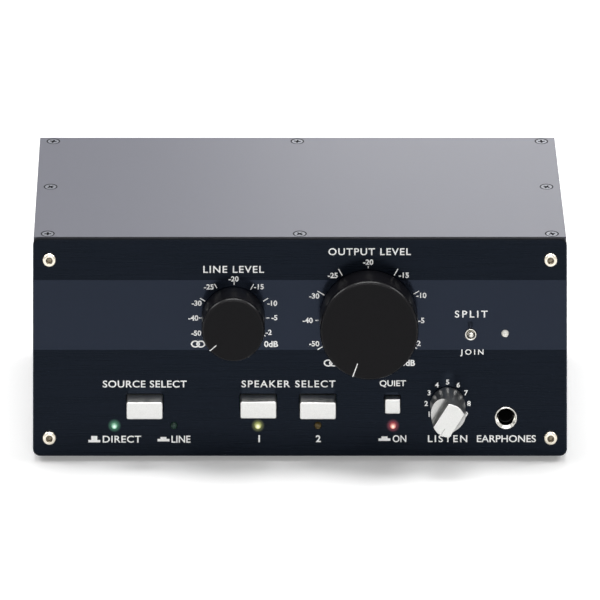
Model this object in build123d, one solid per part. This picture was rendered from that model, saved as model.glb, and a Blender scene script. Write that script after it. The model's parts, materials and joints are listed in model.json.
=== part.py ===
from build123d import *
from math import cos, radians, sin
import os

os.makedirs("parts", exist_ok=True)

# Studio monitor controller: a desktop box with two big volume knobs, four push buttons, a headphone output
# and a row of sockets at the back. Millimetres, +X to the user's right, -Y towards the user, +Z up.
# The origin is at the middle of the footprint, on the surface that the rubber feet stand on.

# Front panel
panel_width = 220.0
panel_height = 89.5
panel_thick = 2.0
panel_corner = 3.0
panel_bevel = 0.4

# Case behind the panel
case_inset = 0.25  # panel's overhang past each side of the case
case_depth = 104.5  # panel's outer face to the rear panel's outer face
case_corner = 1.2  # outer bend radius of the chassis along its lower edges
chassis_sheet = 1.5
cover_thick = 1.5
cover_seam = 0.2  # gap between the front panel's back and the cover's front edge
rear_thick = 1.5
flange_width = 10.0  # top flange that carries the cover
strip_width = 9.8  # upright strips that carry the front and rear panels
strip_margin = 0.4  # strip that is left above the upper panel nut
lip_height = 5.0  # stiffening lip along the lower edges
foot_height = 2.0
foot_diameter = 12.0
foot_inset = 14.0

# Fasteners
screw_diameter = 3.0
thread_clear = 0.05  # radial gap between a screw and its thread
hole_clear = 0.2  # radial gap between a screw and a plain hole
panel_screw_side = 6.8  # from the panel's ends
panel_screw_low = 7.8  # from its lower edge
panel_screw_top = 8.4  # from its upper edge
panel_screw_length = 8.0
button_head_diameter = 5.7
button_head_height = 1.6
button_head_round = 1.2
hex_key = 2.0
hex_depth = 1.0
cover_screw_side = 5.75  # from the case's sides
cover_screw_front = 5.4  # from the panel's face
cover_screw_rear = 3.9  # from the rear panel's face
cover_screw_length = 5.0
sunk_head_diameter = 5.8
pan_head_diameter = 5.2
pan_head_height = 1.7
pan_head_round = 0.8
pan_screw_length = 8.0
board_screw_length = 6.0
cross_length = 3.0
cross_width = 0.8
cross_depth = 0.9
nut_diameter = 5.5  # clinch nut
nut_height = 2.4
collar_diameter = 4.4  # drawn and tapped collars under the top flange
collar_height = 1.5

# Turning controls
knob_gap = 0.6  # knob's back to the panel
knob_wall = 2.4
knob_top = 3.0
knob_chamfer = 0.8
knob_reach = 12.1
boss_wall = 4.0
grub_diameter = 3.0
grub_length = 4.6
grub_height = 6.2
grub_key = 1.5
main_x = 28.3
main_z = 56.6
main_knob_diameter = 40.5
main_pointer = -160.0  # degrees clockwise from straight up, at rest
aux_x = -27.5
aux_z = 56.9
aux_knob_diameter = 26.0
aux_pointer = -131.0
phones_side = 49.2  # from the panel's right end
phones_z = 21.5
phones_pointer = -147.0
phones_knob_diameter = 14.4
phones_knob_tip = 13.6  # diameter at the end of the finger bar
phones_knob_base = 9.2  # reach of the round base
phones_knob_reach = 15.9  # reach of the finger bar
phones_bar_width = 7.7
phones_notch_width = 1.0
phones_notch_depth = 0.6
phones_notch_length = 3.6
shaft_diameter = 6.0
shaft_clear = 0.05  # running clearance in the bushing
shaft_seat = 6.0  # shaft's length inside the pot
shaft_flat = 1.2
shaft_fit = 0.02
bushing_diameter = 9.0
washer_diameter = 13.0
washer_thick = 0.5
bushing_nut_width = 12.0  # across the flats
bushing_nut_height = 2.0
bushing_spare = 0.5  # thread that shows past the nut
pot_diameter = 24.0
pot_length = 11.0
phones_shaft_diameter = 4.5
phones_bushing_diameter = 7.0
phones_nut_width = 9.0
phones_nut_height = 1.8
phones_pot_size = 11.0
phones_pot_length = 8.0
pin_size = 1.0  # square soldering pins

# Push buttons
button_z = 22.0
input_side = 46.1  # from the panel's left end
output_1_x = -17.15
output_2_x = 7.3
mute_x = 38.1
key_width = 14.8
key_height = 7.0
mute_key_width = 6.3
mute_key_height = 6.1
key_corner = 0.7
key_round = 0.4
key_wall = 1.0
key_face = 1.6
key_clear = 0.35  # gap between a key and its window
key_tail = 1.6  # key that is left behind the panel when it is out
key_reach = 7.6  # reach of a key that is out
mute_key_reach = 4.2
latch_depth = 0.7  # how far a latched key stays in
plunger_size = 3.4
plunger_socket = 6.0
plunger_length = 13.0
plunger_clear = 0.35
switch_size = 8.5
switch_gap = 5.2  # panel's back to the front of a switch
switch_floor = 1.5

# Indicator lamps
lamp_diameter = 3.0
lamp_clear = 0.06
lamp_reach = 1.2
lamp_length = 4.6
lamp_rim_diameter = 3.8
lamp_rim_height = 1.0
lamp_leg_gap = 1.3
lamp_leg = 0.5
lamp_holder_diameter = 4.4
lamp_holder_bore = 2.8
lamp_z = 12.7
input_main_lamp_side = 33.6  # from the panel's left end
input_aux_lamp_side = 58.1
output_1_lamp_x = -17.3
output_2_lamp_x = 7.4
mute_lamp_x = 38.3
power_lamp_side = 25.5  # from the panel's right end
power_lamp_z = 50.6

# Mono and stereo toggle
toggle_side = 39.7  # from the panel's right end
toggle_z = 50.3
toggle_tilt = 17.0  # degrees above straight out, at rest
toggle_bushing_diameter = 4.6
toggle_bore = 3.5
toggle_reach = 0.5
toggle_mouth = 0.25
toggle_pivot = 1.2  # pivot's depth behind the panel's face
toggle_ball = 3.36
toggle_neck = 1.4
toggle_tip = 2.3
toggle_length = 8.0  # pivot to the lever's tip
toggle_body_width = 6.9
toggle_body_height = 8.4
toggle_body_length = 9.0
toggle_body_gap = 1.0

# Headphone output
jack_side = 25.2  # from the panel's right end
jack_z = 16.0
jack_bore = 6.4
jack_length = 32.0  # depth of the bore behind the panel's face
jack_size = 12.0
jack_wall = 1.6
ring_diameter = 9.2
ring_reach = 0.8
ring_bevel = 0.25
ring_land = 0.2  # flat rim between the bevel and the funnel
ring_funnel = 1.4  # depth of the funnel that leads the plug in
ring_sleeve = 8.6
ring_depth = 3.4
jack_nose_clear = 0.05

# Rear panel
socket_top = 35.5  # row of sockets below the panel's upper edge
socket_side = 28.0  # outer sockets from the case's sides
input_count = 2
output_count = 4
plate_width = 26.0
plate_height = 31.0
plate_thick = 2.0
plate_corner = 3.0
plate_screw_x = 9.5
plate_screw_z = 12.0
plate_screw_length = 6.0
barrel_diameter = 23.6
barrel_clear = 0.25
barrel_length = 26.0  # from the rear panel's inner face to the rear board
output_recess_diameter = 18.6
output_recess_depth = 15.0
contact_diameter = 2.4
contact_circle = 11.0
contact_length = 12.0
contact_angles = (30, 150, 270)
input_groove_outer = 19.4
input_groove_inner = 16.4
input_groove_depth = 10.0
input_contact_bore = 2.7
plug_way = 8.0  # hole in the rear board behind each input's bore
aux_jack_side = 47.75  # from the case's side
aux_jack_z = 18.0
aux_jack_bore = 3.6
aux_jack_size = 9.0
aux_jack_length = 14.0
aux_jack_ring = 7.6
aux_jack_ring_reach = 1.4
power_side = 31.75  # from the case's other side
power_z = 18.0
power_size = 11.0
power_length = 14.0
power_bore = 6.2
power_depth = 9.5
power_pin = 2.1
power_collar = 9.6
power_collar_reach = 1.0

# Circuit boards
board_thick = 1.6
board_depth = 20.0  # panel's face to the control board
board_side = 13.0  # from the panel's ends
board_low = 6.0
board_top = 5.5  # below the panel's upper edge
board_notch = 8.2  # half of the way that is cut for the headphone socket
standoff_side = 6.0  # from the board's ends
standoff_low = 33.0
standoff_top = 6.0  # below the board's upper edge
standoff_width = 5.5
rear_board_side = 16.0  # from the panel's ends
rear_board_low = 8.0
rear_board_top = 13.5  # below the panel's upper edge
header_width = 22.0
header_height = 6.0
header_length = 8.0
front_header_z = 34.0
rear_header_z = 62.0
ribbon_width = 20.0
ribbon_thick = 0.9
ribbon_run = 11.0
ribbon_bend = 6.0
capacitor_diameter = 10.0
capacitor_length = 16.0
capacitor_count = 4
capacitor_pitch = 12.5
capacitor_x = 40.0
capacitor_top = 14.0  # below the board's upper edge
capacitor_round = 0.8
chip_width = 10.0
chip_height = 6.4
chip_length = 3.6
chip_count = 3
chip_pitch = 16.0
chip_x = 40.0
chip_z = 44.0

# Places that follow from the sizes
rear_reach = max(plate_thick, pan_head_height)
front_reach = max(phones_knob_reach, knob_reach)
face_y = (front_reach - case_depth - rear_reach) / 2
panel_end = panel_width / 2
case_width = panel_width - 2 * case_inset
case_side = case_width / 2
back_y = face_y + case_depth
base_z = foot_height
chassis_front = face_y + panel_thick
chassis_back = back_y - rear_thick
chassis_top = base_z + panel_height - cover_thick
panel_screw_high = panel_height - panel_screw_top
strip_top = base_z + panel_screw_high + nut_diameter / 2 + strip_margin
phones_x = panel_end - phones_side
toggle_x = panel_end - toggle_side
jack_x = panel_end - jack_side
board_width = panel_width - 2 * board_side
board_high = panel_height - board_top
capacitor_high = board_high - capacitor_top
rear_board_width = panel_width - 2 * rear_board_side
rear_board_high = panel_height - rear_board_top
board_face = -board_depth
screw_radius = screw_diameter / 2
ON_BASE = (Align.CENTER, Align.CENTER, Align.MIN)


# Frames in which a piece is drawn along its own +Z, which points out of the case.
def front(x, z):
    return Location(Plane(origin=(x, face_y, base_z + z), x_dir=(1, 0, 0), z_dir=(0, -1, 0)))


def rear(x, z):
    return Location(Plane(origin=(x, back_y, base_z + z), x_dir=(-1, 0, 0), z_dir=(0, 1, 0)))


def upward(x, depth, height):
    return Location((x, face_y + depth, height))


# Basic shapes between two heights
def rod(diameter, low, high):
    return Pos(0, 0, low) * Cylinder(diameter / 2, high - low, align=ON_BASE)


def bar(width, height, low, high):
    return Pos(0, 0, low) * Box(width, height, high - low, align=ON_BASE)


def plate(width, height, corner, low, high):
    return Pos(0, 0, low) * extrude(RectangleRounded(width, height, corner), high - low)


def hexagon(width, low, high):
    return Pos(0, 0, low) * extrude(RegularPolygon(width / 2, 6, major_radius=False), high - low)


def span(x, y, z):
    middle = [(low + high) / 2 for low, high in (x, y, z)]
    return Pos(*middle) * Box(x[1] - x[0], y[1] - y[0], z[1] - z[0])


def corners(x, low, high):
    return [(side * x, z) for side in (-1, 1) for z in (low, high)]


# Fasteners, with the head's seat at height 0
def cross_recess(height):
    slot = bar(cross_length, cross_width, height - cross_depth, height)
    return slot + Rot(0, 0, 90) * slot


def button_screw():
    head = rod(button_head_diameter, 0, button_head_height)
    rounding = min(button_head_round, button_head_height - 0.2)
    head = fillet(head.edges().group_by(Axis.Z)[-1], rounding)
    head -= hexagon(hex_key, button_head_height - hex_depth, button_head_height)
    return head + rod(screw_diameter, -panel_screw_length, 0)


def sunk_cone():
    depth = sunk_head_diameter / 2 - screw_radius
    return Pos(0, 0, -depth) * Cone(screw_radius, sunk_head_diameter / 2, depth, align=ON_BASE)


def sunk_screw(length):
    return sunk_cone() + rod(screw_diameter, -length, 0) - cross_recess(0)


def pan_screw(length):
    head = rod(pan_head_diameter, 0, pan_head_height)
    rounding = min(pan_head_round, pan_head_height - 0.2)
    head = fillet(head.edges().group_by(Axis.Z)[-1], rounding)
    return head - cross_recess(pan_head_height) + rod(screw_diameter, -length, 0)


def clinch_nut(high):
    return rod(nut_diameter, high - nut_height, high) - tapped(high - nut_height, high)


def tapped(low, high):
    return rod(screw_diameter + 2 * thread_clear, low, high)


def drilled(low, high):
    return rod(screw_diameter + 2 * hole_clear, low, high)


# Case
cover_depths = (cover_screw_front, case_depth - cover_screw_rear)
cover_places = [(side * (case_side - cover_screw_side), depth)
                for side in (-1, 1)
                for depth in (*cover_depths, sum(cover_depths) / 2)]
cover_places += [(0, depth) for depth in cover_depths]
panel_places = corners(panel_end - panel_screw_side, panel_screw_low, panel_screw_high)
foot_places = [(side * (case_side - foot_inset), depth)
               for side in (-1, 1)
               for depth in (foot_inset, case_depth - foot_inset)]
standoff_places = corners(board_width / 2 - standoff_side, standoff_low, board_high - standoff_top)

keys = {
    "input": (input_side - panel_end, key_width, key_height, key_reach, 0),
    "output_1": (output_1_x, key_width, key_height, key_reach, latch_depth),
    "output_2": (output_2_x, key_width, key_height, key_reach, 0),
    "mute": (mute_x, mute_key_width, mute_key_height, mute_key_reach, latch_depth),
}
lamps = {
    "input_main": (input_main_lamp_side - panel_end, lamp_z),
    "input_aux": (input_aux_lamp_side - panel_end, lamp_z),
    "output_1": (output_1_lamp_x, lamp_z),
    "output_2": (output_2_lamp_x, lamp_z),
    "mute": (mute_lamp_x, lamp_z),
    "power": (panel_end - power_lamp_side, power_lamp_z),
}
socket_count = input_count + output_count
socket_pitch = 2 * (case_side - socket_side) / (socket_count - 1)
socket_places = [(case_side - socket_side - i * socket_pitch, panel_height - socket_top)
                 for i in range(socket_count)]
aux_jack_place = (case_side - aux_jack_side, aux_jack_z)
power_place = (power_side - case_side, power_z)
input_places = socket_places[:input_count]
output_places = socket_places[input_count:]
contact_places = [(contact_circle / 2 * cos(radians(a)), contact_circle / 2 * sin(radians(a)))
                  for a in contact_angles]


def front_panel():
    panel = front(0, panel_height / 2) * plate(panel_width, panel_height, panel_corner, -panel_thick, 0)
    panel = chamfer(panel.edges().group_by(Axis.Y)[0], panel_bevel)
    for x, z in panel_places:
        panel -= front(x, z) * drilled(-panel_thick, 0)
    for x, z in ((main_x, main_z), (aux_x, aux_z)):
        panel -= front(x, z) * rod(bushing_diameter + 2 * hole_clear, -panel_thick, 0)
    panel -= front(phones_x, phones_z) * rod(phones_bushing_diameter + 2 * hole_clear, -panel_thick, 0)
    panel -= front(toggle_x, toggle_z) * rod(toggle_bushing_diameter + 2 * hole_clear, -panel_thick, 0)
    panel -= front(jack_x, jack_z) * rod(ring_sleeve + 2 * jack_nose_clear, -panel_thick, 0)
    for x, z in lamps.values():
        panel -= front(x, z) * rod(lamp_diameter + 2 * lamp_clear, -panel_thick, 0)
    for x, width, height, reach, pressed in keys.values():
        window = plate(width + 2 * key_clear, height + 2 * key_clear, key_corner + key_clear, -panel_thick, 0)
        panel -= front(x, button_z) * window
    return panel


def chassis():
    side = case_side
    inside = side - chassis_sheet
    strip_edge = inside - strip_width
    roof = chassis_top - chassis_sheet
    shell = span((-side, side), (chassis_front, chassis_back), (base_z, chassis_top))
    lower_edges = shell.edges().filter_by(Axis.Y).group_by(Axis.Z)[0]
    shell = fillet(lower_edges, case_corner)
    shell -= span((-inside, inside),
                  (chassis_front + chassis_sheet, chassis_back - chassis_sheet),
                  (base_z + chassis_sheet, roof))
    shell -= span((flange_width - side, side - flange_width),
                  (chassis_front + flange_width, chassis_back - flange_width),
                  (roof, chassis_top))
    for low, high in ((chassis_front, chassis_front + chassis_sheet), (chassis_back - chassis_sheet, chassis_back)):
        shell -= span((-strip_edge, strip_edge), (low, high), (base_z + lip_height, roof))
        shell -= span((-inside, inside), (low, high), (strip_top, roof))
    for x, depth in cover_places:
        place = upward(x, depth, chassis_top)
        shell += place * rod(collar_diameter, -chassis_sheet - collar_height, -chassis_sheet)
        shell -= place * tapped(-chassis_sheet - collar_height, 0)
    for x, z in panel_places:
        shell -= front(x, z) * drilled(-panel_thick - chassis_sheet, -panel_thick)
        shell -= rear(x, z) * drilled(-rear_thick - chassis_sheet, -rear_thick)
    return shell


def top_cover():
    cover = span((-case_side, case_side), (chassis_front + cover_seam, back_y), (chassis_top, chassis_top + cover_thick))
    for x, depth in cover_places:
        place = upward(x, depth, chassis_top + cover_thick)
        cover -= place * sunk_cone()
        cover -= place * drilled(-cover_thick, 0)
    return cover


def rear_panel():
    panel = span((-case_side, case_side), (chassis_back, back_y), (base_z, chassis_top))
    for x, z in panel_places:
        panel -= rear(x, z) * drilled(-rear_thick, 0)
    for x, z in socket_places:
        panel -= rear(x, z) * rod(barrel_diameter + 2 * barrel_clear, -rear_thick, 0)
        for dx, dz in plate_screw_places:
            panel -= rear(x, z) * Pos(dx, dz) * tapped(-rear_thick, 0)
    panel -= rear(*aux_jack_place) * rod(aux_jack_ring + 2 * hole_clear, -rear_thick, 0)
    panel -= rear(*power_place) * rod(power_collar + 2 * hole_clear, -rear_thick, 0)
    return panel


# Turning controls
def bushing_length(nut_height, washer):
    return washer + nut_height + bushing_spare


def volume_pot():
    high = bushing_length(bushing_nut_height, washer_thick)
    low = -panel_thick - pot_length
    body = rod(pot_diameter, low, -panel_thick) + rod(bushing_diameter, -panel_thick, high)
    body -= rod(shaft_diameter + 2 * shaft_clear, -panel_thick - shaft_seat - hole_clear, high)
    for step in (-1, 0, 1):
        body += Pos(step * pot_diameter / 4, -pot_diameter / 4) * bar(pin_size, pin_size, board_face, low)
    return body


def phones_pot():
    high = bushing_length(phones_nut_height, 0)
    low = -panel_thick - phones_pot_length
    body = bar(phones_pot_size, phones_pot_size, low, -panel_thick)
    body += rod(phones_bushing_diameter, -panel_thick, high)
    body -= rod(phones_shaft_diameter + 2 * shaft_clear, -panel_thick - shaft_seat - hole_clear, high)
    for step in (-1, 0, 1):
        body += Pos(step * phones_pot_size / 4, -phones_pot_size / 4) * bar(pin_size, pin_size, board_face, low)
    return body


def bushing_nut():
    nut = hexagon(bushing_nut_width, washer_thick, washer_thick + bushing_nut_height)
    return nut - rod(bushing_diameter + 2 * thread_clear, washer_thick, washer_thick + bushing_nut_height)


def bushing_washer():
    return rod(washer_diameter, 0, washer_thick) - rod(bushing_diameter + 2 * thread_clear, 0, washer_thick)


def phones_nut():
    nut = hexagon(phones_nut_width, 0, phones_nut_height)
    return nut - rod(phones_bushing_diameter + 2 * thread_clear, 0, phones_nut_height)


def volume_shaft():
    high = knob_reach - knob_top + shaft_fit
    low = bushing_length(bushing_nut_height, washer_thick)
    shaft = rod(shaft_diameter, -panel_thick - shaft_seat, high)
    shift = shaft_diameter - shaft_flat
    return shaft - Pos(0, shift) * bar(shaft_diameter, shaft_diameter, low, high)


def phones_shaft():
    return rod(phones_shaft_diameter, -panel_thick - shaft_seat, phones_knob_base)


def volume_knob(diameter):
    boss_low = bushing_length(bushing_nut_height, washer_thick) + knob_gap
    inner_top = knob_reach - knob_top
    body = rod(diameter, knob_gap, knob_reach)
    body = chamfer(body.edges().group_by(Axis.Z)[-1], knob_chamfer)
    body -= rod(diameter - 2 * knob_wall, knob_gap, inner_top)
    body += rod(shaft_diameter + 2 * boss_wall, boss_low, inner_top)
    body -= rod(shaft_diameter + 2 * shaft_fit, boss_low, inner_top + shaft_fit)
    grub_way = rod(grub_diameter + 2 * thread_clear, 0, diameter)
    return body - Pos(0, 0, grub_height) * Rot(-90, 0, 0) * grub_way


def grub_screw():
    low = shaft_diameter / 2 - shaft_flat
    screw = rod(grub_diameter, low, low + grub_length)
    screw -= hexagon(grub_key, low + grub_length / 2, low + grub_length)
    return Pos(0, 0, grub_height) * Rot(-90, 0, 0) * screw


def phones_knob():
    radius = phones_knob_diameter / 2
    bar_side = phones_bar_width / 2
    hollow = radius - bar_side
    hollow_z = phones_knob_base + hollow
    taper = Cone(radius, phones_knob_tip / 2, phones_knob_reach - phones_knob_base, align=ON_BASE)
    body = rod(phones_knob_diameter, knob_gap, phones_knob_base) + Pos(0, 0, phones_knob_base) * taper
    scoop = Pos(radius, 0, hollow_z) * Rot(90, 0, 0) * Cylinder(hollow, phones_knob_diameter)
    scoop += span((bar_side, phones_knob_diameter), (-radius, radius), (hollow_z, phones_knob_reach))
    body -= scoop + mirror(scoop, Plane.YZ)
    body -= rod(phones_nut_width / cos(radians(30)) + 2 * knob_gap, knob_gap, phones_nut_height + 2 * knob_gap)
    body -= rod(phones_shaft_diameter + 2 * shaft_fit, knob_gap, phones_knob_base)
    notch_y = radius - phones_notch_length / 2
    notch = bar(phones_notch_width, phones_notch_length, phones_knob_reach - phones_notch_depth, phones_knob_reach)
    return body - Pos(0, notch_y) * notch


# Push buttons, drawn with the key out and then moved in by their rest position
def key(width, height, reach):
    low = -panel_thick - key_tail
    body = plate(width, height, key_corner, low, reach)
    body = fillet(body.edges().group_by(Axis.Z)[-1], key_round)
    hollow_width = width - 2 * key_wall
    hollow_height = height - 2 * key_wall
    sleeve = plunger_size + 2 * key_wall
    if hollow_width > sleeve:
        body -= bar(hollow_width, hollow_height, low, reach - key_face)
        body += bar(sleeve, hollow_height, low, reach - key_face)
    return body - bar(plunger_size, plunger_size, low, plunger_high(reach))


def plunger_high(reach):
    return min(plunger_socket - panel_thick - key_tail, reach - key_face)


def plunger(reach):
    return bar(plunger_size, plunger_size, plunger_high(reach) - plunger_length, plunger_high(reach))


def push_switch():
    high = -panel_thick - switch_gap
    well = plunger_size + 2 * plunger_clear
    return bar(switch_size, switch_size, board_face, high) - bar(well, well, board_face + switch_floor, high)


# Indicator lamps
def lamp():
    high = lamp_reach - lamp_diameter / 2
    low = high - lamp_length
    body = rod(lamp_diameter, low, high) + Pos(0, 0, high) * Sphere(lamp_diameter / 2)
    body += rod(lamp_rim_diameter, low - lamp_rim_height, low)
    for side in (-1, 1):
        body += Pos(side * lamp_leg_gap / 2) * bar(lamp_leg, lamp_leg, board_face, low - lamp_rim_height)
    return body


def lamp_holder():
    high = lamp_reach - lamp_diameter / 2 - lamp_length - lamp_rim_height
    return rod(lamp_holder_diameter, board_face, high) - rod(lamp_holder_bore, board_face, high)


# Toggle
def toggle_switch():
    high = -panel_thick - toggle_body_gap
    low = high - toggle_body_length
    body = bar(toggle_body_width, toggle_body_height, low, high)
    body += rod(toggle_bushing_diameter, high, toggle_reach)
    body -= rod(toggle_bore, -toggle_pivot - toggle_ball, toggle_reach)
    body -= Pos(0, 0, toggle_reach - toggle_mouth) * Cone(toggle_bore / 2, toggle_bore / 2 + toggle_mouth,
                                                         toggle_mouth, align=ON_BASE)
    for step in (-1, 0, 1):
        body += Pos(0, step * toggle_body_height / 3) * bar(pin_size, pin_size, board_face, low)
    return body


def toggle_lever():
    length = toggle_length - toggle_tip / 2
    lever = Sphere(toggle_ball / 2) + rod(toggle_neck, 0, length / 2)
    lever += Pos(0, 0, length / 2) * Cone(toggle_neck / 2, toggle_tip / 2, length / 2, align=ON_BASE)
    lever += Pos(0, 0, length) * Sphere(toggle_tip / 2)
    return Pos(0, 0, -toggle_pivot) * Rot(-toggle_tilt, 0, 0) * lever


# Headphone output
def phones_jack():
    body = bar(jack_size, jack_size, -jack_length - jack_wall, -panel_thick)
    body -= rod(jack_bore, -jack_length, -panel_thick)
    return body - rod(ring_sleeve + 2 * jack_nose_clear, -ring_depth, -panel_thick)


def jack_ring():
    ring = rod(ring_diameter, 0, ring_reach)
    ring = chamfer(ring.edges().group_by(Axis.Z)[-1], ring_bevel)
    ring += rod(ring_sleeve, -ring_depth, 0)
    mouth = ring_diameter / 2 - ring_bevel - ring_land
    ring -= Pos(0, 0, ring_reach - ring_funnel) * Cone(jack_bore / 2, mouth, ring_funnel, align=ON_BASE)
    return ring - rod(jack_bore, -ring_depth, ring_reach)


# Rear sockets
plate_screw_places = [(-plate_screw_x, plate_screw_z), (plate_screw_x, -plate_screw_z)]
barrel_low = -rear_thick - barrel_length


def socket_blank():
    body = plate(plate_width, plate_height, plate_corner, 0, plate_thick)
    body += rod(barrel_diameter, barrel_low, 0)
    for x, z in plate_screw_places:
        body -= Pos(x, z) * drilled(0, plate_thick)
        body -= Pos(x, z, plate_thick) * sunk_cone()
    return body


def output_socket():
    floor = plate_thick - output_recess_depth
    body = socket_blank() - rod(output_recess_diameter, floor, plate_thick)
    for x, z in contact_places:
        body -= Pos(x, z) * rod(contact_diameter, barrel_low, floor)
    return body


def output_contact():
    floor = plate_thick - output_recess_depth
    pin = rod(contact_diameter, barrel_low, floor + contact_length)
    return fillet(pin.edges().group_by(Axis.Z)[-1], contact_diameter / 4)


def input_socket():
    groove = rod(input_groove_outer, plate_thick - input_groove_depth, plate_thick)
    groove -= rod(input_groove_inner, plate_thick - input_groove_depth, plate_thick)
    body = socket_blank() - groove - rod(jack_bore, barrel_low, plate_thick)
    for x, z in contact_places:
        body -= Pos(x, z) * rod(input_contact_bore, plate_thick - contact_length, plate_thick)
    return body


def aux_jack():
    low = -rear_thick - aux_jack_length
    body = bar(aux_jack_size, aux_jack_size, low, -rear_thick)
    body += rod(aux_jack_ring, -rear_thick, aux_jack_ring_reach)
    body -= rod(aux_jack_bore, low + pin_size, aux_jack_ring_reach)
    for step in (-1, 0, 1):
        body += Pos(step * aux_jack_size / 3, 0) * bar(pin_size, pin_size, barrel_low, low)
    return body


def power_inlet():
    low = -rear_thick - power_length
    floor = power_collar_reach - power_depth
    body = bar(power_size, power_size, low, -rear_thick)
    body += rod(power_collar, -rear_thick, power_collar_reach)
    body -= rod(power_bore, floor, power_collar_reach)
    body += rod(power_pin, floor, power_collar_reach - power_pin)
    for step in (-1, 0, 1):
        body += Pos(step * power_size / 3, 0) * bar(pin_size, pin_size, barrel_low, low)
    return body


# Circuit boards
def control_board():
    middle = (board_low + board_high) / 2
    board = front(0, middle) * bar(board_width, board_high - board_low, board_face - board_thick, board_face)
    notch = span((jack_x - board_notch, board_width), (-panel_height, jack_z + board_notch), (-case_depth, 0))
    board -= front(0, 0) * notch
    for x, z in standoff_places:
        board -= front(x, z) * drilled(board_face - board_thick, board_face)
    return board


def standoff():
    return hexagon(standoff_width, board_face, -panel_thick) - tapped(board_face, -panel_thick)


def rear_board():
    middle = (rear_board_low + rear_board_high) / 2
    height = rear_board_high - rear_board_low
    board = rear(0, middle) * bar(rear_board_width, height, barrel_low - board_thick, barrel_low)
    for x, z in input_places:
        board -= rear(x, z) * rod(plug_way, barrel_low - board_thick, barrel_low)
    return board


def header(low):
    return bar(header_width, header_height, low - header_length, low)


def ribbon_cable():
    start = face_y + board_depth + board_thick + header_length
    end = back_y + barrel_low - board_thick - header_length
    low = base_z + front_header_z
    high = base_z + rear_header_z
    points = [(0, start, low), (0, start + ribbon_run, low), (0, end - ribbon_run, high), (0, end, high)]
    path = FilletPolyline(*points, radius=ribbon_bend)
    section = Plane(origin=points[0], x_dir=(1, 0, 0), z_dir=(0, 1, 0)) * Rectangle(ribbon_width, ribbon_thick)
    return sweep(section, path)


def capacitor(low):
    can = rod(capacitor_diameter, low - capacitor_length, low)
    return fillet(can.edges().group_by(Axis.Z)[0], capacitor_round)


def chip(low):
    return bar(chip_width, chip_height, low - chip_length, low)


# Every piece in its place
def group(solids):
    return Compound(children=list(solids))


def place_all(frame_of, places, make):
    return group([frame_of(x, z) * make for x, z in places])


nodes = {
    "front_panel": front_panel(),
    "top_cover": top_cover(),
    "chassis": chassis(),
    "rear_panel": rear_panel(),
    "rubber_feet": group([upward(x, depth, 0) * rod(foot_diameter, 0, foot_height) for x, depth in foot_places]),
    "panel_screws": place_all(front, panel_places, button_screw()),
    "cover_screws": group([upward(x, depth, chassis_top + cover_thick) * sunk_screw(cover_screw_length)
                           for x, depth in cover_places]),
    "rear_screws": place_all(rear, panel_places, pan_screw(pan_screw_length)),
    "clinch_nuts": group([front(x, z) * clinch_nut(-panel_thick - chassis_sheet) for x, z in panel_places]
                         + [rear(x, z) * clinch_nut(-rear_thick - chassis_sheet) for x, z in panel_places]),
}

for name, x, z, diameter, pointer in (("main", main_x, main_z, main_knob_diameter, main_pointer),
                                      ("aux", aux_x, aux_z, aux_knob_diameter, aux_pointer)):
    turned = front(x, z) * Rot(0, 0, -pointer)
    nodes[name + "_pot"] = front(x, z) * volume_pot()
    nodes[name + "_shaft"] = turned * volume_shaft()
    nodes[name + "_knob"] = turned * volume_knob(diameter)
    nodes[name + "_grub_screw"] = turned * grub_screw()
pot_places = [(main_x, main_z), (aux_x, aux_z)]
nodes["pot_nuts"] = place_all(front, pot_places, bushing_nut())
nodes["pot_washers"] = place_all(front, pot_places, bushing_washer())
nodes["phones_pot"] = front(phones_x, phones_z) * phones_pot()
nodes["phones_pot_nut"] = front(phones_x, phones_z) * phones_nut()
nodes["phones_shaft"] = front(phones_x, phones_z) * phones_shaft()
nodes["phones_knob"] = front(phones_x, phones_z) * Rot(0, 0, -phones_pointer) * phones_knob()

for name, (x, width, height, reach, pressed) in keys.items():
    rest = front(x, button_z) * Pos(0, 0, -pressed)
    nodes[name + "_key"] = rest * key(width, height, reach)
    nodes[name + "_plunger"] = rest * plunger(reach)
    nodes[name + "_switch"] = front(x, button_z) * push_switch()

for name, (x, z) in lamps.items():
    nodes[name + "_lamp"] = front(x, z) * lamp()
nodes["lamp_holders"] = place_all(front, lamps.values(), lamp_holder())

nodes["toggle_switch"] = front(toggle_x, toggle_z) * toggle_switch()
nodes["toggle_lever"] = front(toggle_x, toggle_z) * toggle_lever()
nodes["phones_jack"] = front(jack_x, jack_z) * phones_jack()
nodes["jack_ring"] = front(jack_x, jack_z) * jack_ring()

nodes["input_sockets"] = place_all(rear, input_places, input_socket())
nodes["output_sockets"] = place_all(rear, output_places, output_socket())
nodes["output_contacts"] = group([rear(x, z) * Pos(dx, dz) * output_contact()
                                  for x, z in output_places for dx, dz in contact_places])
nodes["socket_screws"] = group([rear(x, z) * Pos(dx, dz, plate_thick) * sunk_screw(plate_screw_length)
                                for x, z in socket_places for dx, dz in plate_screw_places])
nodes["aux_jack"] = rear(*aux_jack_place) * aux_jack()
nodes["power_inlet"] = rear(*power_place) * power_inlet()

board_back = board_face - board_thick
nodes["control_board"] = control_board()
nodes["board_standoffs"] = place_all(front, standoff_places, standoff())
nodes["board_screws"] = group([front(x, z) * Pos(0, 0, board_back) * Rot(180, 0, 0) * pan_screw(board_screw_length)
                               for x, z in standoff_places])
nodes["rear_board"] = rear_board()
nodes["board_headers"] = group([front(0, front_header_z) * header(board_back),
                                rear(0, rear_header_z) * header(barrel_low - board_thick)])
nodes["ribbon_cable"] = ribbon_cable()
nodes["capacitors"] = group([front(capacitor_x + i * capacitor_pitch, capacitor_high) * capacitor(board_back)
                             for i in range(capacitor_count)])
nodes["amplifier_chips"] = group([front(chip_x + i * chip_pitch, chip_z) * chip(board_back)
                                  for i in range(chip_count)])

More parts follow.
